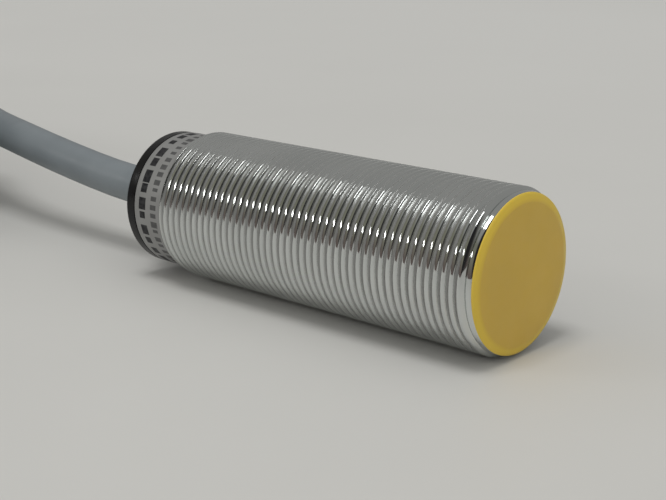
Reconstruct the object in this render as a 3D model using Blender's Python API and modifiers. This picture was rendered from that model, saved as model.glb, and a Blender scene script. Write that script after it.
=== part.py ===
"""Inductive proximity sensor, M18x1 threaded barrel with a fixed cable.

Metres, +Z up.  The barrel's axis runs along X, the sensing face looks to +X,
and the barrel lies on the plane z = 0.  The cable leaves the rear at -X.
"""
import math

import bmesh
import bpy

MM = 0.001

# --- barrel -----------------------------------------------------------------
PITCH = 1.0 * MM
CREST_R = 8.95 * MM
ROOT_R = 8.34 * MM
SLEEVE_R = 8.27 * MM
BORE_R = 7.65 * MM
AXIS_Z = CREST_R
THREAD_FRONT = 25.45 * MM
THREAD_TURNS = 43
THREAD_REAR = THREAD_FRONT - THREAD_TURNS * PITCH
CHAMFER_START = 25.9 * MM
CHAMFER_END = 26.3 * MM
CHAMFER_R = 8.5 * MM
LIP_START = 26.36 * MM
LIP_R = 8.58 * MM
BARREL_FRONT = 26.7 * MM
FRONT_R = 8.48 * MM
BARREL_REAR = -23.5 * MM

# --- end caps ---------------------------------------------------------------
GAP = 0.3 * MM
FACE_X = 27.4 * MM
CAP_R = 8.5 * MM
CAP_RIM = 0.35 * MM
CAP_EDGE = 0.9 * MM
CAP_WALL = 0.4 * MM
CAP_FLOOR = 0.9 * MM
SKIRT_END = 21.4 * MM
PLUG_R = BORE_R - GAP
REAR_FLANGE_R = 8.25 * MM
REAR_EDGE_R = 0.5 * MM
REAR_FACE_X = -25.15 * MM
EXIT_X = -27.4 * MM
BOSS_R = 4.4 * MM
REAR_PLUG_FRONT = -20.8 * MM
REAR_POCKET_R = 3.9 * MM
REAR_POCKET_FLOOR = -24.8 * MM
SEAL_X = -22.2 * MM
SEAL_WIRE_R = 0.3 * MM
SEAL_GROOVE_R = 6.7 * MM
GROMMET_FRONT = -21.3 * MM
GROMMET_REAR = -24.5 * MM
CRIMP_FRONT = -19.2 * MM
CRIMP_REAR = -20.5 * MM
CRIMP_R = 3.3 * MM

# --- coil head --------------------------------------------------------------
CORE_FRONT = FACE_X - CAP_FLOOR - GAP
CORE_BACK = 21.1 * MM
CORE_R = 5.85 * MM
POST_R = 2.6 * MM
WELL_R = 4.9 * MM
WELL_FLOOR = 22.3 * MM
SHIELD_R = 6.65 * MM
LEAD_Y = 4.0 * MM
LEAD_Z = 1.4 * MM
LEAD_R = 0.2 * MM
LEAD_HOLE_R = 0.5 * MM
CARRIER_FRONT = 20.8 * MM
CARRIER_STEP = 19.6 * MM
CARRIER_BACK = 17.0 * MM
CARRIER_R = 7.2 * MM
JAW_R = 5.4 * MM
SLOT_HALF = 0.75 * MM
SLOT_FLOOR = 19.3 * MM

# --- circuit board ----------------------------------------------------------
BOARD_FRONT = 19.0 * MM
BOARD_REAR = -12.5 * MM
BOARD_WIDTH = 12.4 * MM
BOARD_THICK = 1.0 * MM
MOUNTED_Z = AXIS_Z + BOARD_THICK / 2 + GAP

# --- cable ------------------------------------------------------------------
CABLE_R = 2.5 * MM
CORE_WIRE_R = 0.55 * MM
CORE_SPREAD = 1.05 * MM
STRAND_R = 0.32 * MM
JACKET_START = -18.8 * MM
PLUG_FRONT = -16.6 * MM
PLUG_REAR = -18.1 * MM
CORES_PART_X = -16.3 * MM
CORES_PITCH = 1.15 * MM
CORES_END = -10.6 * MM
GUIDE_R = 0.6 * MM
GUIDE_Y = 3.2 * MM
GUIDE_Z = 4.29 * MM
CABLE_ROUTE = [
    (-18.8, 0.0, 8.95),
    (-27.4, 0.0, 8.95),
    (-37.0, 0.0, 9.48),
    (-48.4, 0.1, 10.82),
    (-58.0, 0.5, 12.07),
    (-66.0, 1.7, 12.72),
    (-73.0, 3.6, 13.27),
    (-80.0, 5.6, 13.72),
    (-87.5, 6.6, 14.0),
]
TURN_GAP = 5.1 * MM
FOLD_INNER_R = 15.0 * MM
FOLD_OUTER_R = FOLD_INNER_R + TURN_GAP
HANK_RIGHT = -87.5 * MM
HANK_RUN = 55.4 * MM
HANK_Y = -13.5 * MM
HANK_BOTTOM = 1.3 * MM
HANK_TOP = 26.1 * MM
HANK_HALF = FOLD_OUTER_R + CABLE_R + 0.1 * MM
HANK_HOLE_HALF = FOLD_INNER_R - CABLE_R - 0.1 * MM
RUN_END_X = -65.9 * MM
TIE_THICK = 0.9 * MM
TIE_WIDTH = 3.6 * MM
TAIL_ROUTE = [
    (-134.0, -22.7, 3.6),
    (-129.5, -20.4, 3.0),
    (-123.0, -17.0, 2.55),
    (-115.0, -14.3, 2.5),
    (-106.0, -13.5, 2.5),
    (-98.0, -13.5, 2.5),
]
END_CORE_LENGTH = 14.0 * MM
END_STRAND_LENGTH = 6.0 * MM

SEGMENTS = 32
EPS = 0.00001

COLOURS = {
    "chrome": ((0.62, 0.62, 0.60), 0.18, 1.0),
    "yellow_plastic": ((0.62, 0.43, 0.08), 0.45, 0.0),
    "black_plastic": ((0.02, 0.02, 0.02), 0.4, 0.0),
    "black_rubber": ((0.015, 0.015, 0.015), 0.7, 0.0),
    "ferrite": ((0.06, 0.06, 0.065), 0.55, 0.0),
    "white_plastic": ((0.75, 0.74, 0.70), 0.5, 0.0),
    "copper": ((0.72, 0.32, 0.16), 0.3, 1.0),
    "board_green": ((0.03, 0.16, 0.07), 0.45, 0.0),
    "chip_black": ((0.02, 0.02, 0.022), 0.5, 0.0),
    "ceramic_tan": ((0.50, 0.36, 0.22), 0.5, 0.0),
    "resin": ((0.05, 0.05, 0.06), 0.35, 0.0),
    "clear_plastic": ((0.85, 0.85, 0.82), 0.1, 0.0),
    "amber_plastic": ((0.80, 0.45, 0.05), 0.3, 0.0),
    "grey_pvc": ((0.17, 0.19, 0.20), 0.45, 0.0),
    "brown_pvc": ((0.14, 0.05, 0.02), 0.45, 0.0),
    "blue_pvc": ((0.03, 0.10, 0.42), 0.45, 0.0),
    "black_pvc": ((0.02, 0.02, 0.02), 0.45, 0.0),
    "white_pvc": ((0.78, 0.78, 0.76), 0.45, 0.0),
    "tinned_copper": ((0.60, 0.58, 0.55), 0.3, 1.0),
    "steel": ((0.45, 0.45, 0.45), 0.35, 1.0),
}


def clear_scene():
    for obj in list(bpy.data.objects):
        bpy.data.objects.remove(obj, do_unlink=True)


def collection(name):
    made = bpy.data.collections.new(name)
    bpy.context.scene.collection.children.link(made)
    return made


def material(name):
    found = bpy.data.materials.get(name)
    if found:
        return found
    colour, roughness, metallic = COLOURS[name]
    made = bpy.data.materials.new(name)
    made.use_nodes = True
    shader = made.node_tree.nodes["Principled BSDF"]
    shader.inputs["Base Color"].default_value = (*colour, 1.0)
    shader.inputs["Roughness"].default_value = roughness
    shader.inputs["Metallic"].default_value = metallic
    return made


def add(name, data, finish, smooth=True):
    """Puts a mesh or curve in the part's collection as a named object."""
    obj = bpy.data.objects.new(name, data)
    obj.data.materials.append(material(finish))
    PART.objects.link(obj)
    if smooth and obj.type == "MESH":
        data.shade_smooth()
        data.set_sharp_from_angle(angle=math.radians(35))
    return obj


def mesh_from(name, bm):
    bmesh.ops.recalc_face_normals(bm, faces=bm.faces[:])
    mesh = bpy.data.meshes.new(name)
    bm.to_mesh(mesh)
    bm.free()
    return mesh


def screw(obj):
    """Turns a profile about local Z, which is then laid along world X."""
    turn = obj.modifiers.new("turn", "SCREW")
    turn.axis = "Z"
    turn.steps = SEGMENTS
    turn.render_steps = SEGMENTS
    turn.use_merge_vertices = True
    turn.merge_threshold = EPS
    obj.rotation_euler = (0.0, math.radians(90), 0.0)
    obj.location = (0.0, 0.0, AXIS_Z)


def turned(name, profile, finish, closed):
    """A turned piece from (station, radius) points, outer side front to rear."""
    mesh = bpy.data.meshes.new(name)
    points = [(radius, 0.0, station) for station, radius in profile]
    edges = [(i, i + 1) for i in range(len(points) - 1)]
    if closed:
        edges.append((len(points) - 1, 0))
    mesh.from_pydata(points, edges, [])
    obj = add(name, mesh, finish, smooth=False)
    screw(obj)
    return obj


def ring(name, front, rear, outer, inner, finish):
    corners = [(front, outer), (rear, outer), (rear, inner), (front, inner)]
    return turned(name, corners, finish, closed=True)


def tube(name, points, radius, finish, resolution=2):
    """A round wire or cable along a list of points in metres."""
    curve = bpy.data.curves.new(name, "CURVE")
    curve.dimensions = "3D"
    curve.bevel_depth = radius
    curve.bevel_resolution = resolution
    curve.use_fill_caps = True
    spline = curve.splines.new("POLY")
    spline.points.add(len(points) - 1)
    for point, place in zip(spline.points, points):
        point.co = (*place, 1.0)
    return add(name, curve, finish)


def smooth_route(route, step):
    """Points about one step apart on a Catmull-Rom curve through a route."""
    ends = [route[0]] + list(route) + [route[-1]]
    points = []
    for a, b, c, d in zip(ends, ends[1:], ends[2:], ends[3:]):
        pieces = max(1, round(math.dist(b, c) / step))
        for k in range(pieces):
            t = k / pieces
            points.append(tuple(
                0.5 * (2 * q + (r - p) * t + (2 * p - 5 * q + 4 * r - s) * t * t
                       + (3 * q - p - 3 * r + s) * t ** 3)
                for p, q, r, s in zip(a, b, c, d)
            ))
    return points + [route[-1]]


def block(name, low, high, finish, bevel=0.0):
    """A box between two corners, with its edges eased."""
    bm = bmesh.new()
    bmesh.ops.create_cube(bm, size=1.0)
    size = [b - a for a, b in zip(low, high)]
    bmesh.ops.scale(bm, vec=size, verts=bm.verts)
    obj = add(name, mesh_from(name, bm), finish, smooth=False)
    obj.location = [(a + b) / 2 for a, b in zip(low, high)]
    if bevel:
        ease = obj.modifiers.new("ease", "BEVEL")
        ease.width = bevel
        ease.segments = 1
    return obj


def cutter(name, data):
    obj = bpy.data.objects.new(name, data)
    obj.hide_render = True
    obj.display_type = "WIRE"
    CUTTERS.objects.link(obj)
    return obj


def rod_cutter(name, front, rear, radius, y, z, sides=16):
    """A cutter for a round hole along X, at y and z from the barrel's axis."""
    bm = bmesh.new()
    bmesh.ops.create_cone(bm, cap_ends=True, segments=sides, radius1=radius,
                          radius2=radius, depth=front - rear)
    obj = cutter(name, mesh_from(name, bm))
    obj.rotation_euler = (0.0, math.radians(90), 0.0)
    obj.location = ((front + rear) / 2, y, AXIS_Z + z)
    return obj


def box_cutter(name, low, high):
    bm = bmesh.new()
    bmesh.ops.create_cube(bm, size=1.0)
    bmesh.ops.scale(bm, vec=[b - a for a, b in zip(low, high)], verts=bm.verts)
    obj = cutter(name, mesh_from(name, bm))
    obj.location = [(a + b) / 2 for a, b in zip(low, high)]
    return obj


def boolean(obj, other, operation):
    change = obj.modifiers.new(other.name, "BOOLEAN")
    change.operation = operation
    change.solver = "EXACT"
    change.object = other


# --- housing ----------------------------------------------------------------
def thread_point(step, row):
    """Station and radius of the thread's crest or root at an angle step."""
    station = THREAD_FRONT + PITCH * (1 - row / 2 - step / SEGMENTS)
    radius = CREST_R if row % 2 else ROOT_R
    front_fade = min(1.0, max(0.0, (THREAD_FRONT - station) / (PITCH / 2)))
    rear_fade = min(1.0, max(0.0, (station - THREAD_REAR) / (PITCH / 2)))
    radius = CREST_R + (radius - CREST_R) * front_fade
    radius = SLEEVE_R + (radius - SLEEVE_R) * rear_fade
    return min(max(station, THREAD_REAR), THREAD_FRONT), radius


def threaded_barrel():
    """A tube with a real helical thread, lofted column by column."""
    bm = bmesh.new()
    last_row = 2 * (THREAD_TURNS + 1) + 1
    plain = [
        (BARREL_REAR, SLEEVE_R),
        (BARREL_REAR, BORE_R),
        (BARREL_FRONT, BORE_R),
        (BARREL_FRONT, FRONT_R),
        (LIP_START, LIP_R),
        (CHAMFER_END, CHAMFER_R),
        (CHAMFER_START, CREST_R),
    ]
    columns = []
    for step in range(SEGMENTS):
        angle = 2 * math.pi * step / SEGMENTS
        profile = [thread_point(step, row) for row in range(last_row + 1)] + plain
        columns.append([
            bm.verts.new((x, r * math.cos(angle), AXIS_Z + r * math.sin(angle)))
            for x, r in profile
        ])
    rows = len(columns[0])
    for step in range(SEGMENTS):
        here = columns[step]
        there = columns[(step + 1) % SEGMENTS]
        shift = 2 if step == SEGMENTS - 1 else 0
        for row in range(rows):
            after = (row + 1) % rows
            far, far_after = (
                min(k + shift, last_row) if k <= last_row and row < last_row else k
                for k in (row, after)
            )
            corners = [here[row], here[after], there[far_after], there[far]]
            if len(set(corners)) == 4:
                bm.faces.new(corners)
            elif len(set(corners)) == 3:
                bm.faces.new(sorted(set(corners), key=corners.index))
    bmesh.ops.remove_doubles(bm, verts=bm.verts, dist=EPS)
    bmesh.ops.dissolve_degenerate(bm, dist=EPS / 10, edges=bm.edges)
    return add("threaded_barrel", mesh_from("threaded_barrel", bm), "chrome")


def sensing_cap():
    floor = FACE_X - CAP_FLOOR
    rim = [
        (FACE_X - CAP_RIM * (1 - math.cos(a)), CAP_R - CAP_EDGE * (1 - math.sin(a)))
        for a in (math.radians(22.5 * k) for k in range(5))
    ]
    profile = [(FACE_X, 0.0)] + rim + [
        (FACE_X - CAP_RIM, PLUG_R),
        (SKIRT_END, PLUG_R),
        (SKIRT_END, PLUG_R - CAP_WALL),
        (floor, PLUG_R - CAP_WALL),
        (floor, 0.0),
    ]
    turned("sensing_cap", profile, "yellow_plastic", closed=False)


def rear_cap():
    """Plug, flange and boss in one moulding, with a stepped bore for the cable."""
    groove = SEAL_WIRE_R + 0.3 * MM
    exit_r = CABLE_R + GAP
    edge = [
        (REAR_FACE_X + REAR_EDGE_R * (1 - math.sin(a)),
         REAR_FLANGE_R - REAR_EDGE_R * (1 - math.cos(a)))
        for a in (math.radians(30 * k) for k in range(4))
    ]
    profile = [
        (REAR_PLUG_FRONT, PLUG_R),
        (SEAL_X + groove, PLUG_R),
        (SEAL_X + groove, SEAL_GROOVE_R),
        (SEAL_X - groove, SEAL_GROOVE_R),
        (SEAL_X - groove, PLUG_R),
        (BARREL_REAR - GAP, PLUG_R),
        (BARREL_REAR - GAP, REAR_FLANGE_R),
    ] + edge + [
        (REAR_FACE_X, BOSS_R),
        (EXIT_X + 0.3 * MM, BOSS_R - 0.2 * MM),
        (EXIT_X, BOSS_R - 0.5 * MM),
        (EXIT_X, exit_r),
        (REAR_POCKET_FLOOR, exit_r),
        (REAR_POCKET_FLOOR, REAR_POCKET_R),
        (REAR_PLUG_FRONT, REAR_POCKET_R),
    ]
    obj = turned("rear_cap", profile, "black_plastic", closed=True)
    hole = rod_cutter("guide_hole", REAR_PLUG_FRONT + 1 * MM, EXIT_X - 1 * MM,
                      GUIDE_R + GAP, GUIDE_Y, GUIDE_Z)
    boolean(obj, hole, "DIFFERENCE")


def rear_seal():
    radius = (SEAL_GROOVE_R + BORE_R) / 2
    sides = 8
    profile = [
        (SEAL_X + SEAL_WIRE_R * math.cos(2 * math.pi * k / sides),
         radius + SEAL_WIRE_R * math.sin(2 * math.pi * k / sides))
        for k in range(sides)
    ]
    turned("rear_seal", profile, "black_rubber", closed=True)


def cable_fixings():
    ring("cable_grommet", GROMMET_FRONT, GROMMET_REAR, REAR_POCKET_R - GAP,
         CABLE_R + GAP, "black_rubber")
    ring("crimp_ring", CRIMP_FRONT, CRIMP_REAR, CRIMP_R, CABLE_R + GAP, "steel")


# --- coil head --------------------------------------------------------------
def lead_holes(obj, front, rear):
    for side in (-1, 1):
        name = f"{obj.name}_lead_hole_{'left' if side < 0 else 'right'}"
        hole = rod_cutter(name, front, rear, LEAD_HOLE_R, side * LEAD_Y, LEAD_Z, 12)
        boolean(obj, hole, "DIFFERENCE")


def ferrite_core():
    """Pot core: back plate, outer wall and a drilled centre post."""
    bore = 0.9 * MM
    profile = [
        (CORE_FRONT, CORE_R),
        (CORE_BACK, CORE_R),
        (CORE_BACK, bore),
        (CORE_FRONT, bore),
        (CORE_FRONT, POST_R),
        (WELL_FLOOR, POST_R),
        (WELL_FLOOR, WELL_R),
        (CORE_FRONT, WELL_R),
    ]
    obj = turned("ferrite_core", profile, "ferrite", closed=True)
    lead_holes(obj, WELL_FLOOR + 0.8 * MM, CORE_BACK - 0.8 * MM)


def coil():
    front = CORE_FRONT - GAP
    rear = WELL_FLOOR + GAP
    flange = 0.35 * MM
    inner = POST_R + GAP
    hub = inner + 0.3 * MM
    outer = WELL_R - GAP
    profile = [
        (front, outer),
        (front - flange, outer),
        (front - flange, hub),
        (rear + flange, hub),
        (rear + flange, outer),
        (rear, outer),
        (rear, inner),
        (front, inner),
    ]
    turned("coil_bobbin", profile, "white_plastic", closed=True)
    ring("coil_winding", front - flange - GAP, rear + flange + GAP,
         outer - 0.1 * MM, hub + GAP, "copper")


def coil_leads():
    height = AXIS_Z + LEAD_Z
    pad = MOUNTED_Z + LEAD_R
    for side, name in ((-1, "coil_lead_left"), (1, "coil_lead_right")):
        y = side * LEAD_Y
        route = [(22.2 * MM, y, height), (16.8 * MM, y, height),
                 (15.9 * MM, y, (height + pad) / 2), (15.0 * MM, y, pad),
                 (14.0 * MM, y, pad)]
        tube(name, route, LEAD_R, "copper", resolution=1)


def core_carrier():
    """Disc behind the core with two jaws that grip the circuit board."""
    profile = [
        (CARRIER_FRONT, 0.0),
        (CARRIER_FRONT, CARRIER_R),
        (CARRIER_STEP, CARRIER_R),
        (CARRIER_STEP, JAW_R),
        (CARRIER_BACK, JAW_R),
        (CARRIER_BACK, 0.0),
    ]
    obj = turned("core_carrier", profile, "white_plastic", closed=False)
    slot = box_cutter("board_slot",
                      (CARRIER_BACK - 1 * MM, -8 * MM, AXIS_Z - SLOT_HALF),
                      (SLOT_FLOOR, 8 * MM, AXIS_Z + SLOT_HALF))
    boolean(obj, slot, "DIFFERENCE")
    lead_holes(obj, CARRIER_FRONT + 1 * MM, CARRIER_BACK - 1 * MM)


# --- circuit board ----------------------------------------------------------
def chip(name, x, y, size, legs, reach, finish="chip_black"):
    """A moulded package with its legs as bars that run under the body."""
    length, width, height = size
    body = block(name, (x - length / 2, y - width / 2, MOUNTED_Z),
                 (x + length / 2, y + width / 2, MOUNTED_Z + height),
                 finish, bevel=0.12 * MM)
    bm = bmesh.new()
    for k in range(legs):
        made = bmesh.ops.create_cube(bm, size=1.0)["verts"]
        bmesh.ops.scale(bm, vec=(0.45 * MM, width + 2 * reach, 0.25 * MM), verts=made)
        offset = (k - (legs - 1) / 2) * length / legs
        bmesh.ops.translate(bm, vec=(x + offset, y, MOUNTED_Z + 0.3 * MM), verts=made)
    bars = cutter(f"{name}_legs", mesh_from(f"{name}_legs", bm))
    boolean(body, bars, "UNION")


def small_part(name, x, y, size, finish):
    length, width, height = size
    block(name, (x - length / 2, y - width / 2, MOUNTED_Z),
          (x + length / 2, y + width / 2, MOUNTED_Z + height), finish, 0.08 * MM)


def circuit_board():
    half = BOARD_WIDTH / 2
    block("circuit_board", (BOARD_REAR, -half, AXIS_Z - BOARD_THICK / 2),
          (BOARD_FRONT, half, AXIS_Z + BOARD_THICK / 2), "board_green", 0.1 * MM)
    chip("sensor_chip", 9.5 * MM, 0.0, (4.9 * MM, 3.9 * MM, 1.5 * MM), 4, 1.0 * MM)
    for number, y in ((1, -3.4 * MM), (2, 3.4 * MM)):
        chip(f"output_transistor_{number}", -2.0 * MM, y,
             (4.5 * MM, 2.5 * MM, 1.5 * MM), 3, 0.7 * MM)
    chip("voltage_regulator", 3.6 * MM, 0.0, (2.9 * MM, 2.8 * MM, 1.1 * MM), 3, 0.6 * MM)
    small_part("surge_diode", -7.6 * MM, -3.0 * MM, (4.3 * MM, 2.6 * MM, 2.0 * MM),
               "chip_black")
    small_part("storage_capacitor", -7.6 * MM, 1.0 * MM,
               (3.5 * MM, 2.8 * MM, 1.9 * MM), "amber_plastic")
    small = (2.0 * MM, 1.25 * MM, 0.9 * MM)
    for number, (x, y) in enumerate([(13.6, 1.6), (13.6, -1.6), (6.0, 4.4)], 1):
        small_part(f"ceramic_capacitor_{number}", x * MM, y * MM, small, "ceramic_tan")
    flat = (2.0 * MM, 1.25 * MM, 0.55 * MM)
    for number, (x, y) in enumerate([(6.0, -4.4), (3.0, -4.4), (3.0, 4.4), (11.0, 4.4)], 1):
        small_part(f"resistor_{number}", x * MM, y * MM, flat, "chip_black")
    small_part("indicator_led", -9.2 * MM, 4.2 * MM, (1.6 * MM, 1.4 * MM, 1.3 * MM),
               "clear_plastic")


def light_guide():
    start = MOUNTED_Z + GUIDE_R + 0.05 * MM
    window = AXIS_Z + GUIDE_Z
    route = [(-10.4 * MM, 4.2 * MM, start), (-11.8 * MM, 4.1 * MM, start + 0.2 * MM),
             (-13.4 * MM, 3.7 * MM, (start + window) / 2),
             (-15.0 * MM, 3.3 * MM, window - 0.2 * MM),
             (-16.2 * MM, GUIDE_Y, window), (REAR_FACE_X, GUIDE_Y, window)]
    tube("light_guide", route, GUIDE_R, "clear_plastic")


CORES = [
    ("brown", -1, -1, -4.6 * MM),
    ("white", -1, 1, -2.5 * MM),
    ("black", 1, 1, -0.4 * MM),
    ("blue", 1, -1, 1.7 * MM),
]


def inner_cores():
    """The cable's four cores, from the jacket's end to the board's pads."""
    pad = MOUNTED_Z + CORE_WIRE_R
    for colour, side, level, pad_y in CORES:
        y, z = side * CORE_SPREAD, AXIS_Z + level * CORE_SPREAD
        route = [(JACKET_START + GAP, y, z), (CORES_PART_X, y, z)]
        for k in range(1, 5):
            ease = (1 - math.cos(math.pi * k / 4)) / 2
            route.append((CORES_PART_X + k * CORES_PITCH, y + (pad_y - y) * ease,
                          z + (pad - z) * min(1.0, 1.35 * ease)))
        route.append((CORES_END, pad_y, pad))
        tube(f"inner_core_{colour}", route, CORE_WIRE_R, f"{colour}_pvc")


def potting_plug():
    """Resin dam behind the board, cast round the cores and the light guide."""
    front, rear = PLUG_FRONT, PLUG_REAR
    profile = [(front, 0.0), (front, PLUG_R), (rear, PLUG_R), (rear, 0.0)]
    obj = turned("potting_plug", profile, "resin", closed=False)
    for colour, side, level, _ in CORES:
        hole = rod_cutter(f"core_hole_{colour}", front + 1 * MM, rear - 1 * MM,
                          CORE_WIRE_R + 0.25 * MM, side * CORE_SPREAD,
                          level * CORE_SPREAD, 12)
        boolean(obj, hole, "DIFFERENCE")
    guide = rod_cutter("plug_guide_hole", front + 1 * MM, rear - 1 * MM,
                       GUIDE_R + GAP, GUIDE_Y, GUIDE_Z, 12)
    boolean(obj, guide, "DIFFERENCE")


# --- cable ------------------------------------------------------------------
def metres(route):
    return [tuple(value * MM for value in point) for point in route]


def cable_run():
    points = smooth_route(metres(CABLE_ROUTE), 2 * CABLE_R)
    kept = [point for point in points if point[0] > RUN_END_X]
    tube("cable_run", kept, CABLE_R, "grey_pvc", resolution=3)


def stadium(spline_owner, half, clockwise):
    """Adds a closed outline with straight runs along X and round ends."""
    steps = 12
    right, left = HANK_RIGHT, HANK_RIGHT - HANK_RUN
    points = []
    for centre, start in ((right, -90), (left, 90)):
        for k in range(steps + 1):
            angle = math.radians(start + 180 * k / steps)
            points.append((centre + half * math.cos(angle), half * math.sin(angle)))
    if clockwise:
        points.reverse()
    add_outline(spline_owner, points)


def add_outline(curve, points):
    spline = curve.splines.new("POLY")
    spline.points.add(len(points) - 1)
    for point, (x, y) in zip(spline.points, points):
        point.co = (x, y, 0.0, 1.0)
    spline.use_cyclic_u = True


def flat_curve(name, thickness):
    curve = bpy.data.curves.new(name, "CURVE")
    curve.dimensions = "2D"
    curve.fill_mode = "BOTH"
    curve.extrude = thickness / 2
    return curve


def cable_hank():
    """The folded hank's outer shape: nine turns, two side by side."""
    curve = flat_curve("cable_hank", HANK_TOP - HANK_BOTTOM)
    stadium(curve, HANK_HALF, clockwise=False)
    stadium(curve, HANK_HOLE_HALF, clockwise=True)
    obj = add("cable_hank", curve, "grey_pvc")
    obj.location = (0.0, HANK_Y, (HANK_TOP + HANK_BOTTOM) / 2)


def rounded_box(half_y, half_z, radius):
    """Outline of a rectangle with quarter-round corners, three steps each."""
    points = []
    for sy, sz, start in ((1, 1, 0), (-1, 1, 90), (-1, -1, 180), (1, -1, 270)):
        for k in range(4):
            angle = math.radians(start + 30 * k)
            points.append((sy * (half_y - radius) + radius * math.cos(angle),
                           sz * (half_z - radius) + radius * math.sin(angle)))
    return points


def hank_ties():
    """A flat tie round each of the hank's two runs."""
    middle = HANK_RIGHT - HANK_RUN / 2
    half_y = (HANK_HALF - HANK_HOLE_HALF) / 2 + GAP
    half_z = (HANK_TOP - HANK_BOTTOM) / 2 + GAP
    centre_y = (HANK_HALF + HANK_HOLE_HALF) / 2
    for side, name in ((1, "hank_tie_1"), (-1, "hank_tie_2")):
        curve = flat_curve(name, TIE_WIDTH)
        outer = rounded_box(half_y + TIE_THICK, half_z + TIE_THICK, 1.6 * MM)
        inner = rounded_box(half_y, half_z, 0.7 * MM)
        add_outline(curve, outer)
        add_outline(curve, inner[::-1])
        obj = add(name, curve, "black_plastic")
        obj.rotation_euler = (math.radians(90), 0.0, math.radians(90))
        obj.location = (middle, HANK_Y + side * centre_y, (HANK_TOP + HANK_BOTTOM) / 2)


def cable_tail():
    points = smooth_route(metres(TAIL_ROUTE), 2 * CABLE_R)
    tube("cable_tail", points, CABLE_R, "grey_pvc", resolution=3)


def cable_end():
    """The stripped cores and their tinned strands past the jacket's end."""
    x, y, z = metres(TAIL_ROUTE)[-1]
    for colour, side, level, _ in CORES:
        start = (x + GAP, y + side * CORE_SPREAD, z + level * CORE_SPREAD)
        spread = side * (4.2 * MM if level > 0 else 2.0 * MM)
        route = []
        for k in range(6):
            t = k / 5
            ease = (1 - math.cos(math.pi * t)) / 2
            rest = CORE_WIRE_R + 0.05 * MM
            route.append((start[0] + END_CORE_LENGTH * t,
                          start[1] + spread * ease,
                          start[2] + (rest - start[2]) * min(1.0, 1.2 * ease)))
        tube(f"end_core_{colour}", route, CORE_WIRE_R, f"{colour}_pvc")
        tip = route[-1]
        ahead = [tip[0] + GAP, tip[1], tip[2]]
        far = [ahead[0] + END_STRAND_LENGTH, tip[1] + 0.08 * spread, tip[2]]
        tube(f"end_strand_{colour}", [ahead, far], STRAND_R, "tinned_copper")


clear_scene()
PART = collection("proximity_sensor")
CUTTERS = collection("cutters")
threaded_barrel()
sensing_cap()
rear_cap()
rear_seal()
cable_fixings()
ferrite_core()
coil()
coil_leads()
ring("shield_ring", CORE_FRONT - 0.1 * MM, 21.5 * MM, SHIELD_R, CORE_R + GAP, "copper")
core_carrier()
circuit_board()
light_guide()
inner_cores()
potting_plug()
cable_run()
cable_hank()
hank_ties()
cable_tail()
cable_end()
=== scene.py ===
"""Looks for the M18 proximity sensor: materials, fine meshes, cable, studio."""
import math

import bmesh
import bpy
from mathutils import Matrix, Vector

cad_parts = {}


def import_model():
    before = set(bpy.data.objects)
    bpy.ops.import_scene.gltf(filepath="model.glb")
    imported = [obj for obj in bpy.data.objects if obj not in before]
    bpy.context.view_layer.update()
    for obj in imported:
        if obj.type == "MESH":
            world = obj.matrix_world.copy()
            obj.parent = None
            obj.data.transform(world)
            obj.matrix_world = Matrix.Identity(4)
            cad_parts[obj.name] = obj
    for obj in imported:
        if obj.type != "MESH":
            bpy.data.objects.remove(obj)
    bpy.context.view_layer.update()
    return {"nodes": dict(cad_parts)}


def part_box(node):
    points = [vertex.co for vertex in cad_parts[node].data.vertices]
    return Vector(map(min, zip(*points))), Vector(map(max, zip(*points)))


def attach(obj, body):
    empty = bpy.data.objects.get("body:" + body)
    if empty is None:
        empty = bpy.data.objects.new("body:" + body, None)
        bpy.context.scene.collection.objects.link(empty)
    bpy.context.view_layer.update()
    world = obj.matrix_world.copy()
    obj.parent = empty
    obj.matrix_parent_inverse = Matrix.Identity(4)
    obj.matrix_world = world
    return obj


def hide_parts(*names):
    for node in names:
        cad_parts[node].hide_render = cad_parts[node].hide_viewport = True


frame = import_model()
MM = 0.001

# --- sizes taken from the frame ---------------------------------------------
barrel_low, barrel_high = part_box("threaded_barrel")
cap_low, cap_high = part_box("sensing_cap")
rear_low, rear_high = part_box("rear_cap")
hank_low, hank_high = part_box("cable_hank")
AXIS_Z = (barrel_low.z + barrel_high.z) / 2
CREST_R = (barrel_high.z - barrel_low.z) / 2
FACE_X = cap_high.x

# --- thread -----------------------------------------------------------------
PITCH = 1.0 * MM
THREAD_TURNS = 44
THREAD_FRONT = FACE_X - 1.68 * MM
THREAD_START = FACE_X - 2.01 * MM
THREAD_REAR = THREAD_START - THREAD_TURNS * PITCH
THREAD_DEPTH = 0.58 * MM
THREAD_SEGMENTS = 112
SLEEVE_R = CREST_R - 0.68 * MM
BORE_R = 7.65 * MM
BARREL_FRONT = FACE_X - 0.42 * MM
LIP_R = 8.60 * MM
CHAMFER_FOOT = FACE_X - 1.12 * MM
CAP_R = (cap_high.z - cap_low.z) / 2
RIM_WIDTH = 0.95 * MM
RIM_DEPTH = 0.27 * MM
ROUND_R = 0.15 * MM
RUN_IN = 0.3 * PITCH
RUN_OUT = 0.5 * PITCH
EASED_SHOULDERS = (0.13, 0.05, 0.06)

# --- rear cap ---------------------------------------------------------------
PLUG_R = 7.35 * MM
POCKET_R = 3.9 * MM
POCKET_FLOOR = 1.4 * MM
FLANGE_EDGE_R = 0.5 * MM
BOSS_ROOT_R = 4.7 * MM
BOSS_EDGE_R = 0.3 * MM
BOSS_LENGTH = 2.29 * MM
CABLE_GAP = 0.06 * MM

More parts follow.
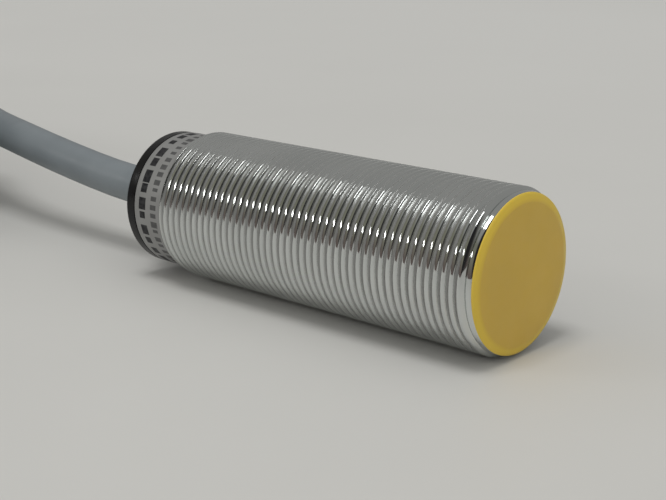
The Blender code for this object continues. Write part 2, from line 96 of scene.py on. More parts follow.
# --- cable ------------------------------------------------------------------
CABLE_R = 2.5 * MM
CABLE_ROUTE = [
    (-18.8, 0.0, 8.95),
    (-27.4, 0.0, 8.95),
    (-37.0, 0.0, 9.48),
    (-48.4, 0.1, 10.82),
    (-58.0, 0.5, 12.07),
    (-66.0, 1.7, 12.72),
    (-73.0, 3.6, 13.27),
    (-80.0, 5.6, 13.72),
    (-87.5, 6.6, 14.0),
]
FOLD_INNER_R = 15.0 * MM
TURN_GAP = 5.1 * MM
HANK_RIGHT = -87.5 * MM
HANK_RUN = 55.4 * MM
HANK_Y = -13.5 * MM
FIRST_LAYER_Z = hank_low.z + CABLE_R
STRAP_ROUND_R = 2.4 * MM
STRAP_THICKNESS = 1.0 * MM
TAIL_ROUTE = [
    (-134.0, -22.7, 3.6),
    (-129.5, -20.4, 3.0),
    (-123.0, -17.0, 2.55),
    (-115.0, -14.3, 2.5),
    (-106.0, -13.5, 2.5),
    (-98.0, -13.5, 2.5),
]


# --- camera -----------------------------------------------------------------
def camera():
    lens = bpy.data.cameras.new("camera")
    lens.lens = 71.36
    lens.sensor_width = 36.0
    lens.clip_start = 0.005
    obj = bpy.data.objects.new("camera", lens)
    bpy.context.scene.collection.objects.link(obj)
    obj.location = (98.05 * MM, -108.79 * MM, 47.74 * MM)
    obj.rotation_euler = (math.radians(74.26), 0.0, math.radians(41.58))
    bpy.context.scene.camera = obj


camera()


# --- material kit -----------------------------------------------------------
class Look:
    """A Principled material with short calls for the nodes that detail it."""

    def __init__(self, name, colour, roughness, metallic=0.0, **settings):
        self.material = bpy.data.materials.new(name)
        self.material.use_nodes = True
        self.tree = self.material.node_tree
        self.shader = self.tree.nodes["Principled BSDF"]
        self.set("Base Color", (*colour, 1.0))
        self.set("Roughness", roughness)
        self.set("Metallic", metallic)
        for socket, value in settings.items():
            self.set(socket.replace("_", " "), value)
        self.coords = self.node("ShaderNodeTexCoord").outputs["Object"]

    def set(self, socket, value):
        self.shader.inputs[socket].default_value = value

    def node(self, kind, inputs=None, **settings):
        made = self.tree.nodes.new(kind)
        for key, value in settings.items():
            setattr(made, key, value)
        for socket, value in (inputs or {}).items():
            if hasattr(value, "is_output"):
                self.tree.links.new(value, made.inputs[socket])
            else:
                made.inputs[socket].default_value = value
        return made

    def math(self, operation, a, b=0.0):
        return self.node("ShaderNodeMath", {0: a, 1: b}, operation=operation).outputs[0]

    def place(self):
        """The X, Y and Z of each point."""
        return self.node("ShaderNodeSeparateXYZ", {"Vector": self.coords}).outputs

    def radius(self, place):
        """Each point's distance from the barrel's axis."""
        height = self.math("SUBTRACT", place["Z"], AXIS_Z)
        return self.math("SQRT", self.math(
            "ADD", self.math("MULTIPLY", place["Y"], place["Y"]),
            self.math("MULTIPLY", height, height)))

    def noise(self, scale, detail=3.0, roughness=0.5, vector=None):
        inputs = {"Vector": vector or self.coords, "Scale": scale,
                  "Detail": detail, "Roughness": roughness}
        return self.node("ShaderNodeTexNoise", inputs).outputs["Fac"]

    def stretch(self, scale):
        inputs = {"Vector": self.coords, "Scale": scale}
        return self.node("ShaderNodeMapping", inputs).outputs["Vector"]

    def between(self, fac, low, high, start=0.0, end=1.0):
        inputs = {"Value": fac, "From Min": start, "From Max": end,
                  "To Min": low, "To Max": high}
        return self.node("ShaderNodeMapRange", inputs).outputs["Result"]

    def mix(self, fac, a, b):
        colours = [(*c, 1.0) if isinstance(c, tuple) else c for c in (a, b)]
        inputs = {"Factor": fac, "A": colours[0], "B": colours[1]}
        made = self.tree.nodes.new("ShaderNodeMix")
        made.data_type = "RGBA"
        sockets = {"Factor": made.inputs[0], "A": made.inputs[6], "B": made.inputs[7]}
        for key, value in inputs.items():
            if hasattr(value, "is_output"):
                self.tree.links.new(value, sockets[key])
            else:
                sockets[key].default_value = value
        return made.outputs[2]

    def wire(self, output, socket):
        self.tree.links.new(output, self.shader.inputs[socket])

    def bump(self, height, distance, strength=1.0):
        inputs = {"Height": height, "Distance": distance, "Strength": strength}
        before = self.shader.inputs["Normal"].links
        if before:
            inputs["Normal"] = before[0].from_socket
        self.wire(self.node("ShaderNodeBump", inputs).outputs["Normal"], "Normal")


def chrome():
    """Plating with bright crests and duller grooves whose darker colour is painted shade,
    rougher towards the rear.
    """
    look = Look("chrome", (0.62, 0.64, 0.63), 0.07, 1.0)
    smear = look.noise(220.0, 4.0)
    place = look.place()
    worn = look.between(place["X"], 0.09, 0.0, THREAD_REAR, 6 * MM)
    groove = look.between(look.radius(place), 1.0, 0.0, CREST_R - 0.34 * MM, CREST_R - 0.06 * MM)
    plated = look.math("ADD", worn, look.between(smear, 0.04, 0.10, 0.3, 0.7))
    ahead = look.between(place["X"], 1.0, 0.0, CHAMFER_FOOT - 0.5 * MM,
                         CHAMFER_FOOT - 0.45 * MM)
    behind = look.between(place["X"], 0.0, 1.0, THREAD_REAR + 0.3 * MM,
                          THREAD_REAR + 0.5 * MM)
    # Thread grooves: rougher and less metallic, and darkened in colour as painted shade.
    dull_shaded_groove = look.math("MULTIPLY", groove, look.math("MULTIPLY", ahead, behind))
    look.wire(look.math("ADD", plated, look.math("MULTIPLY", dull_shaded_groove, 0.30)), "Roughness")
    bright = look.mix(look.between(look.noise(90.0), 0.0, 1.0, 0.35, 0.65),
                      (0.59, 0.61, 0.60), (0.66, 0.68, 0.67))
    look.wire(look.mix(dull_shaded_groove, bright, (0.47, 0.47, 0.46)), "Base Color")
    look.wire(look.between(dull_shaded_groove, 1.0, 0.45), "Metallic")
    look.bump(look.noise(300.0, 2.0), 0.012 * MM, 1.0)
    look.bump(look.noise(1500.0, 2.0), 0.0035 * MM, 1.0)
    return look.material


def marked_band():
    """Satin band round the rear sleeve with two rows of plain bars."""
    look = Look("marked_band", (0.30, 0.30, 0.295), 0.5, 0.35)
    place = look.place()
    along = place["X"]
    turn = look.math("DIVIDE", look.math("ARCTAN2", look.math(
        "SUBTRACT", place["Z"], AXIS_Z), place["Y"]), 2 * math.pi)
    ink = None
    rows = ((barrel_low.x + 1.50 * MM, 1.25 * MM, 30.0, 0.76, 3.0, 1.0),
            (barrel_low.x + 3.45 * MM, 1.15 * MM, 50.0, 0.64, 11.0, 0.7))
    for middle, height, count, duty, seed, strength in rows:
        cells = look.math("MULTIPLY", turn, count)
        pick = look.node("ShaderNodeTexWhiteNoise", {
            "W": look.math("ADD", look.math("FLOOR", cells), seed)},
            noise_dimensions="1D").outputs["Value"]
        width = look.between(pick, duty * 0.55, duty * 1.25)
        inside = look.math("LESS_THAN", look.math("FRACT", cells), width)
        offset = look.math("ABSOLUTE", look.math("SUBTRACT", along, middle))
        band = look.math("LESS_THAN", offset, look.between(
            pick, height * 0.36, height * 0.5))
        there = look.math("MULTIPLY", look.math("MULTIPLY", inside, band), strength)
        ink = there if ink is None else look.math("MAXIMUM", ink, there)
    printed = look.math("MULTIPLY", ink, look.between(
        look.noise(1800.0), 0.88, 1.0, 0.35, 0.6))
    bare = look.mix(look.noise(400.0, 5.0), (0.27, 0.27, 0.265), (0.33, 0.33, 0.325))
    look.wire(look.mix(printed, bare, (0.008, 0.008, 0.012)), "Base Color")
    look.wire(look.between(printed, 0.48, 0.6), "Roughness")
    look.bump(look.noise(2600.0, 2.0, vector=look.stretch((1.0, 0.15, 0.15))),
              0.003 * MM, 0.4)
    return look.material


def moulded(name, dark, light, roughness, grain=1500.0, depth=0.006, **settings):
    """Moulded plastic or rubber: fine spark grain and slightly uneven colour."""
    look = Look(name, dark, roughness, 0.0, **settings)
    cloud = look.between(look.noise(140.0, 4.0), 0.0, 1.0, 0.35, 0.65)
    look.wire(look.mix(cloud, dark, light), "Base Color")
    look.wire(look.between(look.noise(600.0, 3.0), roughness - 0.06,
                           roughness + 0.08, 0.3, 0.7), "Roughness")
    look.bump(look.noise(grain, 3.0), depth * MM, 0.5)
    return look.material


def yellow_face():
    """Yellow moulding, slightly translucent, with its rim painted paler as a highlight."""
    look = Look("yellow_face", (0.72, 0.48, 0.07), 0.42, 0.0, Subsurface_Weight=0.12,
                Subsurface_Radius=(0.6 * MM, 0.4 * MM, 0.1 * MM))
    place = look.place()
    # The rim's paler yellow is a painted highlight.
    painted_rim_highlight = look.between(look.radius(place), 0.0, 1.0, CAP_R - RIM_WIDTH - 0.08 * MM,
                       CAP_R - RIM_WIDTH + 0.38 * MM)
    cloud = look.between(look.noise(140.0, 4.0), 0.0, 1.0, 0.35, 0.65)
    face = look.mix(cloud, (0.70, 0.465, 0.068), (0.74, 0.495, 0.073))
    look.wire(look.mix(painted_rim_highlight, face, (0.82, 0.585, 0.066)), "Base Color")
    look.wire(look.between(look.noise(600.0, 3.0), 0.36, 0.50, 0.3, 0.7), "Roughness")
    look.bump(look.noise(2200.0, 3.0), 0.004 * MM, 0.5)
    return look.material


def pvc(name, dark, light):
    """Extruded jacket: a faint long ripple and a satin skin."""
    look = Look(name, dark, 0.42, 0.0, Specular_IOR_Level=0.45)
    look.wire(look.mix(look.between(look.noise(160.0, 4.0), 0.0, 1.0, 0.35, 0.65),
                       dark, light), "Base Color")
    look.wire(look.between(look.noise(500.0, 3.0), 0.36, 0.5, 0.3, 0.7), "Roughness")
    look.bump(look.noise(700.0, 2.0, vector=look.stretch((0.2, 1.0, 1.0))),
              0.02 * MM, 0.4)
    look.bump(look.noise(3500.0, 2.0), 0.004 * MM, 0.4)
    return look.material


def metal(name, dark, light, roughness):
    """Bare metal with fine streaks across its length."""
    look = Look(name, dark, roughness, 1.0)
    streaks = look.noise(1500.0, 3.0, vector=look.stretch((1.0, 0.1, 0.1)))
    look.wire(look.mix(streaks, dark, light), "Base Color")
    look.wire(look.between(streaks, roughness - 0.08, roughness + 0.1), "Roughness")
    look.bump(streaks, 0.004 * MM, 0.4)
    return look.material


def winding():
    """Enamelled copper wire laid in turns."""
    look = Look("copper_winding", (0.72, 0.30, 0.13), 0.28, 1.0)
    wires = look.node("ShaderNodeTexWave", {"Vector": look.coords, "Scale": 2600.0,
                                            "Distortion": 0.4}).outputs["Fac"]
    look.wire(look.mix(wires, (0.45, 0.16, 0.06), (0.80, 0.38, 0.18)), "Base Color")
    look.bump(wires, 0.05 * MM, 0.8)
    return look.material


def board():
    """Green solder resist over tracks and a woven substrate."""
    look = Look("circuit_board", (0.02, 0.12, 0.05), 0.35, 0.0, Coat_Weight=0.3)
    tracks = look.node("ShaderNodeTexBrick", {
        "Vector": look.coords, "Color1": (1, 1, 1, 1), "Color2": (1, 1, 1, 1),
        "Mortar": (0, 0, 0, 1), "Scale": 420.0, "Mortar Size": 0.06}).outputs["Fac"]
    weave = look.noise(4000.0, 1.0, vector=look.stretch((1.0, 1.0, 0.2)))
    green = look.mix(weave, (0.018, 0.11, 0.045), (0.03, 0.16, 0.07))
    look.wire(look.mix(tracks, green, (0.05, 0.24, 0.10)), "Base Color")
    look.bump(tracks, 0.03 * MM, 0.6)
    return look.material


LOOKS = {}


def make_looks():
    LOOKS["chrome"] = chrome()
    LOOKS["band"] = marked_band()
    LOOKS["yellow_face"] = yellow_face()
    LOOKS["black_plastic"] = moulded(
        "black_plastic", (0.012, 0.012, 0.013), (0.022, 0.022, 0.023), 0.36)
    LOOKS["black_cap"] = moulded(
        "black_cap", (0.004, 0.004, 0.005), (0.008, 0.008, 0.009), 0.30, 1200.0, 0.003,
        Specular_IOR_Level=0.25)
    LOOKS["black_rubber"] = moulded(
        "black_rubber", (0.012, 0.012, 0.012), (0.024, 0.024, 0.024), 0.66, 900.0, 0.02)
    LOOKS["ferrite"] = moulded(
        "ferrite", (0.04, 0.04, 0.043), (0.07, 0.07, 0.075), 0.6, 1800.0, 0.02)
    LOOKS["white_plastic"] = moulded(
        "white_plastic", (0.68, 0.67, 0.62), (0.76, 0.75, 0.70), 0.48)
    LOOKS["copper"] = metal("copper", (0.62, 0.26, 0.12), (0.78, 0.38, 0.20), 0.3)
    LOOKS["winding"] = winding()
    LOOKS["board_green"] = board()
    LOOKS["chip_black"] = moulded(
        "chip_black", (0.015, 0.015, 0.016), (0.03, 0.03, 0.032), 0.55, 1600.0, 0.01)
    LOOKS["ceramic_tan"] = moulded(
        "ceramic_tan", (0.42, 0.29, 0.17), (0.52, 0.38, 0.24), 0.5)
    LOOKS["amber_plastic"] = moulded(
        "amber_plastic", (0.72, 0.38, 0.04), (0.82, 0.46, 0.06), 0.4)
    LOOKS["resin"] = moulded("resin", (0.03, 0.03, 0.035), (0.05, 0.05, 0.055), 0.3)
    LOOKS["clear_plastic"] = moulded(
        "clear_plastic", (0.80, 0.80, 0.76), (0.88, 0.88, 0.84), 0.12,
        Transmission_Weight=0.85, IOR=1.49)
    LOOKS["grey_pvc"] = pvc("grey_pvc", (0.194, 0.219, 0.236), (0.216, 0.243, 0.261))
    LOOKS["brown_pvc"] = pvc("brown_pvc", (0.12, 0.04, 0.016), (0.16, 0.055, 0.022))
    LOOKS["white_pvc"] = pvc("white_pvc", (0.70, 0.70, 0.67), (0.80, 0.80, 0.77))
    LOOKS["black_pvc"] = pvc("black_pvc", (0.012, 0.012, 0.012), (0.022, 0.022, 0.022))
    LOOKS["blue_pvc"] = pvc("blue_pvc", (0.02, 0.08, 0.36), (0.03, 0.11, 0.44))
    LOOKS["tinned_copper"] = metal(
        "tinned_copper", (0.50, 0.49, 0.46), (0.66, 0.65, 0.62), 0.32)
    LOOKS["steel"] = metal("steel", (0.40, 0.40, 0.40), (0.55, 0.55, 0.54), 0.34)


make_looks()


# --- mesh kit ---------------------------------------------------------------
def piece(name, data, slot, *looks):
    """A visible piece that rides on the part's one body."""
    obj = bpy.data.objects.new(name, data)
    bpy.context.scene.collection.objects.link(obj)
    for look in looks:
        obj.data.materials.append(LOOKS[look])
    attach(obj, "root")
    return obj


def finish_mesh(name, bm, sharp=40.0):
    bmesh.ops.recalc_face_normals(bm, faces=bm.faces[:])
    mesh = bpy.data.meshes.new(name)
    bm.to_mesh(mesh)
    bm.free()
    mesh.shade_smooth()
    mesh.set_sharp_from_angle(angle=math.radians(sharp))
    return mesh


def arc(centre, radius, start, end, steps):
    """Points on a circular arc, given as (station, radius) pairs."""
    points = []
    for k in range(steps + 1):
        angle = math.radians(start + (end - start) * k / steps)
        points.append((centre[0] + radius * math.cos(angle),
                       centre[1] + radius * math.sin(angle)))
    return points


def turned_mesh(name, profile, closed=True, segments=128, sharp=40.0):
    """Turns (station, radius) points about the barrel's axis."""
    bm = bmesh.new()
    rings = []
    for station, radius in profile:
        if radius < 1e-7:
            rings.append([bm.verts.new((station, 0.0, AXIS_Z))] * segments)
            continue
        rings.append([
            bm.verts.new((station, radius * math.cos(a), AXIS_Z + radius * math.sin(a)))
            for a in (2 * math.pi * k / segments for k in range(segments))
        ])
    pairs = list(zip(rings, rings[1:]))
    if closed:
        pairs.append((rings[-1], rings[0]))
    for one, two in pairs:
        for k in range(segments):
            after = (k + 1) % segments
            corners = list(dict.fromkeys([one[k], one[after], two[after], two[k]]))
            if len(corners) > 2:
                bm.faces.new(corners)
    return finish_mesh(name, bm, sharp)


# --- barrel -----------------------------------------------------------------
def thread_form(eased):
    """One pitch, front to rear, as (share of a pitch, depth share) pairs."""
    crest, root = 0.34, 0.60
    form = [(0.0, 0.0), (crest / 2, -0.015), (crest - 0.03, 0.0), (crest + 0.01, 0.05),
            (root, 1.0)]
    slope = 1.0 / (1.0 - eased / 2 - root)
    for k in range(5):
        t = k / 5
        form.append((1.0 - eased * (1 - t), 0.5 * slope * eased * (1 - t) ** 2))
    return form


def barrel():
    """The chromed tube: a fine helical thread, front lip and rear sleeve."""
    forms = [thread_form(eased) for eased in EASED_SHOULDERS]
    per_pitch = len(forms[0])
    last_row = per_pitch * (THREAD_TURNS + 1) + 1
    neck = 0.12 * MM
    rear = barrel_low.x
    plain = [
        (THREAD_REAR - neck, SLEEVE_R),
        (THREAD_REAR - 1.0 * MM, SLEEVE_R),
        (rear + 0.25 * MM, SLEEVE_R),
        (rear + 0.07 * MM, SLEEVE_R - 0.05 * MM),
        (rear, SLEEVE_R - 0.2 * MM),
        (rear, BORE_R),
        (BARREL_FRONT, BORE_R),
        (BARREL_FRONT, LIP_R - 0.20 * MM),
        (BARREL_FRONT - 0.06 * MM, LIP_R - 0.14 * MM),
        (BARREL_FRONT - 0.26 * MM, LIP_R - 0.07 * MM),
        (BARREL_FRONT - 0.46 * MM, LIP_R - 0.015 * MM),
        (CHAMFER_FOOT + 0.13 * MM, LIP_R),
        (CHAMFER_FOOT + 0.08 * MM, LIP_R - 0.03 * MM),
        (CHAMFER_FOOT + 0.05 * MM, LIP_R - 0.16 * MM),
        (CHAMFER_FOOT, LIP_R - 0.16 * MM),
        (CHAMFER_FOOT - 0.03 * MM, LIP_R - 0.08 * MM),
        (CHAMFER_FOOT - 0.30 * MM, CREST_R - 0.10 * MM),
        (CHAMFER_FOOT - 0.36 * MM, CREST_R - 0.035 * MM),
        (CHAMFER_FOOT - 0.44 * MM, CREST_R),
    ]
    bm = bmesh.new()
    columns = []
    for step in range(THREAD_SEGMENTS):
        angle = 2 * math.pi * step / THREAD_SEGMENTS
        profile = []
        for row in range(last_row + 1):
            turn = row // per_pitch
            share, depth = forms[turn % len(forms)][row % per_pitch]
            turns = turn + share + step / THREAD_SEGMENTS
            station = THREAD_START + PITCH * (1 - turns)
            run_in = min(1.0, max(0.0, (THREAD_FRONT - station) / RUN_IN))
            run_out = min(1.0, max(0.0, (station - THREAD_REAR) / RUN_OUT))
            cut = CREST_R - THREAD_DEPTH * depth * run_in
            radius = SLEEVE_R + (cut - SLEEVE_R) * run_out
            profile.append((min(max(station, THREAD_REAR), THREAD_FRONT), radius))
        columns.append([
            bm.verts.new((x, r * math.cos(angle), AXIS_Z + r * math.sin(angle)))
            for x, r in profile + plain
        ])
    rows = len(columns[0])
    for step in range(THREAD_SEGMENTS):
        here = columns[step]
        there = columns[(step + 1) % THREAD_SEGMENTS]
        shift = per_pitch if step == THREAD_SEGMENTS - 1 else 0
        for row in range(rows):
            after = (row + 1) % rows
            if row < last_row:
                far, far_after = min(row + shift, last_row), min(after + shift, last_row)
            else:
                far, far_after = row, after
            corners = list(dict.fromkeys(
                [here[row], here[after], there[far_after], there[far]]))
            if len(corners) > 2:
                bm.faces.new(corners)
    bmesh.ops.remove_doubles(bm, verts=bm.verts, dist=0.002 * MM)
    band_end = THREAD_REAR - 0.06 * MM
    for face in bm.faces:
        middle = face.calc_center_median()
        outside = math.hypot(middle.y, middle.z - AXIS_Z) > BORE_R + 0.3 * MM
        face.material_index = 1 if middle.x < band_end and outside else 0
    mesh = finish_mesh("barrel_shell", bm, 50.0)
    shell = piece("barrel_shell", mesh, "chrome_barrel", "chrome", "band")
    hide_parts("threaded_barrel")


def sensing_face():
    """The yellow cap: a flat face, a shallow sloping rim and a hidden skirt."""
    back = BARREL_FRONT + 0.02 * MM
    skirt = CAP_R - 1.15 * MM
    profile = [(FACE_X, 0.0), (FACE_X, 3.0 * MM), (FACE_X, 6.0 * MM)]
    slope = RIM_DEPTH / RIM_WIDTH
    profile += [(FACE_X, CAP_R - RIM_WIDTH * 1.08), (FACE_X - 0.01 * MM, CAP_R - RIM_WIDTH)]
    profile += [(FACE_X - 0.01 * MM - RIM_WIDTH * t * slope, CAP_R - RIM_WIDTH * (1 - t))
                for t in (0.08, 0.4, 0.72)]
    profile += arc((FACE_X - 0.23 * MM - ROUND_R, CAP_R - ROUND_R), ROUND_R, 62, 90, 4)
    profile += [
        (back, CAP_R),
        (back, skirt),
        (cap_low.x, skirt),
        (cap_low.x, skirt - 0.4 * MM),
        (FACE_X - 0.9 * MM, skirt - 0.4 * MM),
        (FACE_X - 0.9 * MM, 0.0),
    ]
    mesh = turned_mesh("sensing_face", profile, closed=False, sharp=50.0)
    face = piece("sensing_face", mesh, "yellow_face", "yellow_face")
    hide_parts("sensing_cap")


def rear_closure():
    """The black rear cap with its rounded flange and the boss round the cable."""
    front = barrel_low.x - 0.04 * MM
    flange = (rear_high.z - rear_low.z) / 2
    face = rear_low.x + BOSS_LENGTH
    boss_r = BOSS_ROOT_R - 2 * BOSS_EDGE_R
    profile = [(rear_high.x, PLUG_R), (front, PLUG_R), (front, flange)]
    profile += arc((face + FLANGE_EDGE_R, flange - FLANGE_EDGE_R), FLANGE_EDGE_R, 90, 180, 8)
    profile += [(face, 5.0 * MM), (face, BOSS_ROOT_R)]
    profile += arc((face - BOSS_EDGE_R, BOSS_ROOT_R), BOSS_EDGE_R, 0, -90, 4)[1:]
    profile += arc((rear_low.x + BOSS_EDGE_R, boss_r), BOSS_EDGE_R, 90, 180, 5)
    profile += [
        (rear_low.x, CABLE_R + CABLE_GAP),
        (rear_low.x + POCKET_FLOOR, CABLE_R + CABLE_GAP),
        (rear_low.x + POCKET_FLOOR, POCKET_R),
        (rear_high.x, POCKET_R),
    ]
    mesh = turned_mesh("rear_closure", profile, sharp=35.0)
    cap = piece("rear_closure", mesh, "black_plastic", "black_cap")
    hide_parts("rear_cap")


# --- cable ------------------------------------------------------------------
def smooth_route(route, step):
    """Points about one step apart on a Catmull-Rom curve through a route."""
    ends = [route[0]] + list(route) + [route[-1]]
    points = []
    for a, b, c, d in zip(ends, ends[1:], ends[2:], ends[3:]):
        pieces = max(1, round(math.dist(b, c) / step))
        for k in range(pieces):
            t = k / pieces
            points.append(tuple(
                0.5 * (2 * q + (r - p) * t + (2 * p - 5 * q + 4 * r - s) * t * t
                       + (3 * q - p - 3 * r + s) * t ** 3)
                for p, q, r, s in zip(a, b, c, d)
            ))
    return points + [route[-1]]


def metres(route):
    return [tuple(value * MM for value in point) for point in route]


def hank_slots():
    """Where each turn lies: (distance outside the inner turn, height)."""
    layer = [FIRST_LAYER_Z + k * TURN_GAP for k in range(4)]
    inner, outer = 0.0, TURN_GAP
    nest = layer[3] + TURN_GAP * math.sqrt(3) / 2
    return [(outer, layer[2]), (outer, layer[3]), (outer / 2, nest),
            (inner, layer[3]), (inner, layer[2]), (inner, layer[1]),
            (outer, layer[1]), (outer, layer[0]), (inner, layer[0])]


def hank_points():
    """Nine folded turns; each slides to its next place along the return run."""
    slots = hank_slots()
    zone = HANK_RUN + math.pi * (FOLD_INNER_R + TURN_GAP / 2)
    window = zone / (0.5 * (len(slots) - 2) + 1)
    run_steps, bend_steps = 12, 18
    points = []
    for turn, slot in enumerate(slots):
        target = slots[min(turn + 1, len(slots) - 1)]
        begin = window * 0.5 * (len(slots) - 2 - turn)

        def place(travelled):
            t = min(1.0, max(0.0, (travelled - begin) / window))
            ease = (1 - math.cos(math.pi * t)) / 2
            return [p + (q - p) * ease for p, q in zip(slot, target)]

        for k in range(run_steps):
            offset, z = slot
            x = HANK_RIGHT - HANK_RUN * k / run_steps
            points.append((x, HANK_Y + FOLD_INNER_R + offset, z))
        for k in range(bend_steps):
            angle = math.pi / 2 + math.pi * k / bend_steps
            radius = FOLD_INNER_R + slot[0]
            points.append((HANK_RIGHT - HANK_RUN + radius * math.cos(angle),
                           HANK_Y + radius * math.sin(angle), slot[1]))
        if turn == len(slots) - 1:
            return points
        for k in range(run_steps):
            travelled = HANK_RUN * k / run_steps
            offset, z = place(travelled)
            points.append((HANK_RIGHT - HANK_RUN + travelled,
                           HANK_Y - FOLD_INNER_R - offset, z))
        for k in range(bend_steps):
            share = k / bend_steps
            offset, z = place(HANK_RUN + (zone - HANK_RUN) * share)
            angle = -math.pi / 2 + math.pi * share
            radius = FOLD_INNER_R + offset
            points.append((HANK_RIGHT + radius * math.cos(angle),
                           HANK_Y + radius * math.sin(angle), z))
    return points


def tube(name, points, radius, slot, look):
    curve = bpy.data.curves.new(name, "CURVE")
    curve.dimensions = "3D"
    curve.bevel_depth = radius
    curve.bevel_resolution = 5
    curve.use_fill_caps = True
    spline = curve.splines.new("POLY")
    spline.points.add(len(points) - 1)
    for point, place in zip(spline.points, points):
        point.co = (*place, 1.0)
    spline.use_smooth = True
    return piece(name, curve, slot, look)


def cable():
    lead_in = smooth_route(metres(CABLE_ROUTE), 1.6 * CABLE_R)
    tail = smooth_route(metres(TAIL_ROUTE), 1.6 * CABLE_R)
    points = lead_in[:-1] + hank_points() + tail
    cord = tube("cable", points, CABLE_R, "grey_pvc", "grey_pvc")
    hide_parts("cable_run", "cable_hank", "cable_tail")
    return cord


def hank_ties():
    """Two flat straps, each a rounded band round one run of the hank."""
    ties = []
    for node in ("hank_tie_1", "hank_tie_2"):
        low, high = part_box(node)
        middle = (low + high) / 2
        half = (high - low) / 2
        bm = bmesh.new()
        outline = []
        for sy, sz, start in ((1, 1, 0), (-1, 1, 90), (-1, -1, 180), (1, -1, 270)):
            for k in range(7):
                a = math.radians(start + 15 * k)
                outline.append((sy, sz, math.cos(a), math.sin(a)))
        rings = []
        for thick, x in ((0.0, -1), (0.0, 1), (1.0, 1), (1.0, -1)):
            ring = []
            for sy, sz, c, s in outline:
                radius = STRAP_ROUND_R - thick * STRAP_THICKNESS
                y = sy * (half.y - STRAP_ROUND_R) + radius * c
                z = sz * (half.z - STRAP_ROUND_R) + radius * s
                ring.append(bm.verts.new((middle.x + x * half.x, middle.y + y,
                                          middle.z + z)))
            rings.append(ring)
        count = len(outline)
        for one, two in zip(rings, rings[1:] + rings[:1]):
            for k in range(count):
                after = (k + 1) % count
                bm.faces.new([one[k], one[after], two[after], two[k]])
        mesh = finish_mesh(f"{node}_strap", bm)
        strap = piece(f"{node}_strap", mesh, "black_plastic", "black_plastic")
        ease = strap.modifiers.new("ease", "BEVEL")
        ease.width = 0.18 * MM
        ease.segments = 2
        ease.limit_method = "ANGLE"
        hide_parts(node)
        ties.append(strap)
    return ties


def cable_ends():
    """The CAD's stripped cores and tinned strands, with their materials."""
    pieces = []
    for colour in ("brown", "white", "black", "blue"):
        for kind in ("end_core", "end_strand"):
            node = frame["nodes"][f"{kind}_{colour}"]
            look = f"{colour}_pvc" if kind == "end_core" else "tinned_copper"
            dress(node, look)
            pieces.append(node)
    return pieces


def dress(node, look):
    node.data.materials.clear()
    node.data.materials.append(LOOKS[look])


INNER_LOOKS = {
    "rear_seal": "black_rubber", "cable_grommet": "black_rubber", "crimp_ring": "steel",
    "ferrite_core": "ferrite", "coil_bobbin": "white_plastic", "coil_winding": "winding",
    "shield_ring": "copper", "coil_lead_left": "copper", "coil_lead_right": "copper",
    "core_carrier": "white_plastic", "circuit_board": "board_green",
    "sensor_chip": "chip_black", "output_transistor_1": "chip_black",
    "output_transistor_2": "chip_black", "voltage_regulator": "chip_black",
    "surge_diode": "chip_black", "storage_capacitor": "amber_plastic",
    "indicator_led": "clear_plastic", "light_guide": "clear_plastic",
    "potting_plug": "resin",
}


def dress_inside():
    for name, look in INNER_LOOKS.items():
        dress(frame["nodes"][name], look)
    for number in range(1, 4):
        dress(frame["nodes"][f"ceramic_capacitor_{number}"], "ceramic_tan")
    for number in range(1, 5):
        dress(frame["nodes"][f"resistor_{number}"], "chip_black")
    for colour in ("brown", "white", "black", "blue"):
        dress(frame["nodes"][f"inner_core_{colour}"], f"{colour}_pvc")


# --- studio -----------------------------------------------------------------
def floor():
    bm = bmesh.new()
    bmesh.ops.create_circle(bm, cap_ends=True, segments=96, radius=3.0)
    mesh = bpy.data.meshes.new("floor")
    bm.to_mesh(mesh)
    bm.free()
    obj = bpy.data.objects.new("floor", mesh)
    bpy.context.scene.collection.objects.link(obj)
    look = Look("floor", (0.66, 0.655, 0.63), 0.55, 0.0, Specular_IOR_Level=0.3)
    cloud = look.between(look.noise(14.0, 4.0), 0.0, 1.0, 0.3, 0.7)
    near = look.mix(cloud, (0.645, 0.64, 0.615), (0.675, 0.67, 0.645))
    place = look.place()
    # Paler towards +Y: painted light that brightens the far floor.
    look.wire(look.mix(look.between(place["Y"], 0.0, 1.0, -0.02, 0.3), near,
                       (0.735, 0.732, 0.710)), "Base Color")
    look.bump(look.noise(700.0, 4.0), 0.02 * MM, 0.3)
    obj.data.materials.append(look.material)


def area_light(name, azimuth, elevation, distance, width, height, power):
    """A soft box seen from the part at an azimuth from +X and an elevation."""
    light = bpy.data.lights.new(name, "AREA")
    light.shape = "RECTANGLE"
    light.size = width
    light.size_y = height
    light.energy = power
    obj = bpy.data.objects.new(name, light)
    bpy.context.scene.collection.objects.link(obj)
    a, e = math.radians(azimuth), math.radians(elevation)
    away = Vector((math.cos(a) * math.cos(e), math.sin(a) * math.cos(e), math.sin(e)))
    obj.location = away * distance
    obj.rotation_euler = away.to_track_quat("Z", "Y").to_euler()


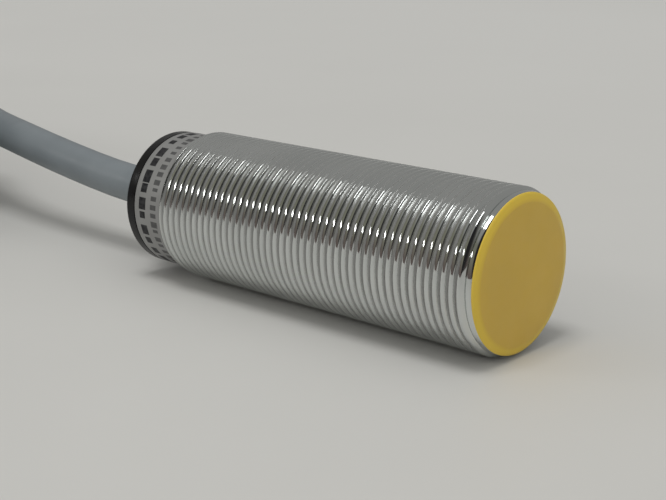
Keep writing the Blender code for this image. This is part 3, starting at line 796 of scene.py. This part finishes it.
def world():
    """A pale studio for the eye; a dim room on one side for the reflections."""
    made = bpy.data.worlds.new("studio")
    made.use_nodes = True
    bpy.context.scene.world = made
    tree = made.node_tree
    nodes, links = tree.nodes, tree.links
    back = nodes["Background"]
    coords = nodes.new("ShaderNodeTexCoord").outputs["Generated"]
    split = nodes.new("ShaderNodeSeparateXYZ")
    links.new(coords, split.inputs[0])

    def ramp(value, low, high):
        made_range = nodes.new("ShaderNodeMapRange")
        made_range.interpolation_type = "SMOOTHSTEP"
        made_range.inputs["From Min"].default_value = low
        made_range.inputs["From Max"].default_value = high
        links.new(value, made_range.inputs["Value"])
        return made_range.outputs["Result"]

    def blend(fac, a, b):
        mix = nodes.new("ShaderNodeMix")
        mix.data_type = "RGBA"
        links.new(fac, mix.inputs[0])
        for socket, value in ((mix.inputs[6], a), (mix.inputs[7], b)):
            if isinstance(value, tuple):
                socket.default_value = (*value, 1.0)
            else:
                links.new(value, socket)
        return mix.outputs[2]

    def combine(operation, a, b):
        made_math = nodes.new("ShaderNodeMath")
        made_math.operation = operation
        for socket, value in ((made_math.inputs[0], a), (made_math.inputs[1], b)):
            if isinstance(value, float):
                socket.default_value = value
            else:
                links.new(value, socket)
        return made_math.outputs[0]

    def towards(azimuth, elevation):
        a, e = math.radians(azimuth), math.radians(elevation)
        aim = (math.cos(a) * math.cos(e), math.sin(a) * math.cos(e), math.sin(e))
        parts = [combine("MULTIPLY", split.outputs[axis], part)
                 for axis, part in zip("XYZ", aim)]
        return combine("ADD", combine("ADD", parts[0], parts[1]), parts[2])

    side = ramp(split.outputs["Y"], 0.25, -0.25)
    height = ramp(split.outputs["Z"], 0.78, 0.66)
    room = blend(ramp(split.outputs["Z"], 0.0, 0.45), (0.135, 0.105, 0.098),
                 (0.215, 0.210, 0.165))
    seen = blend(combine("MULTIPLY", side, height), (0.325, 0.323, 0.314), room)
    seen = blend(ramp(towards(-42, 30), 0.70, 0.88), seen, (0.022, 0.021, 0.022))
    soft = blend(ramp(towards(-68, 58), -0.5, 0.95), (0.085, 0.085, 0.085),
                 (0.62, 0.617, 0.600))
    path = nodes.new("ShaderNodeLightPath")
    lit = blend(path.outputs["Is Diffuse Ray"], seen, soft)
    final = blend(path.outputs["Is Camera Ray"], lit, (0.52, 0.515, 0.495))
    links.new(final, back.inputs["Color"])


def lights():
    area_light("ceiling", -90, 76, 2.0, 0.70, 0.68, 12.0)
    area_light("lamp", -134, 24.5, 1.0, 0.34, 0.050, 0.6)


# --- build ------------------------------------------------------------------
cord = cable()
ties = hank_ties()
ends = cable_ends()
barrel()
sensing_face()
rear_closure()
dress_inside()
floor()
world()
lights()
bpy.context.scene.view_settings.view_transform = "Standard"
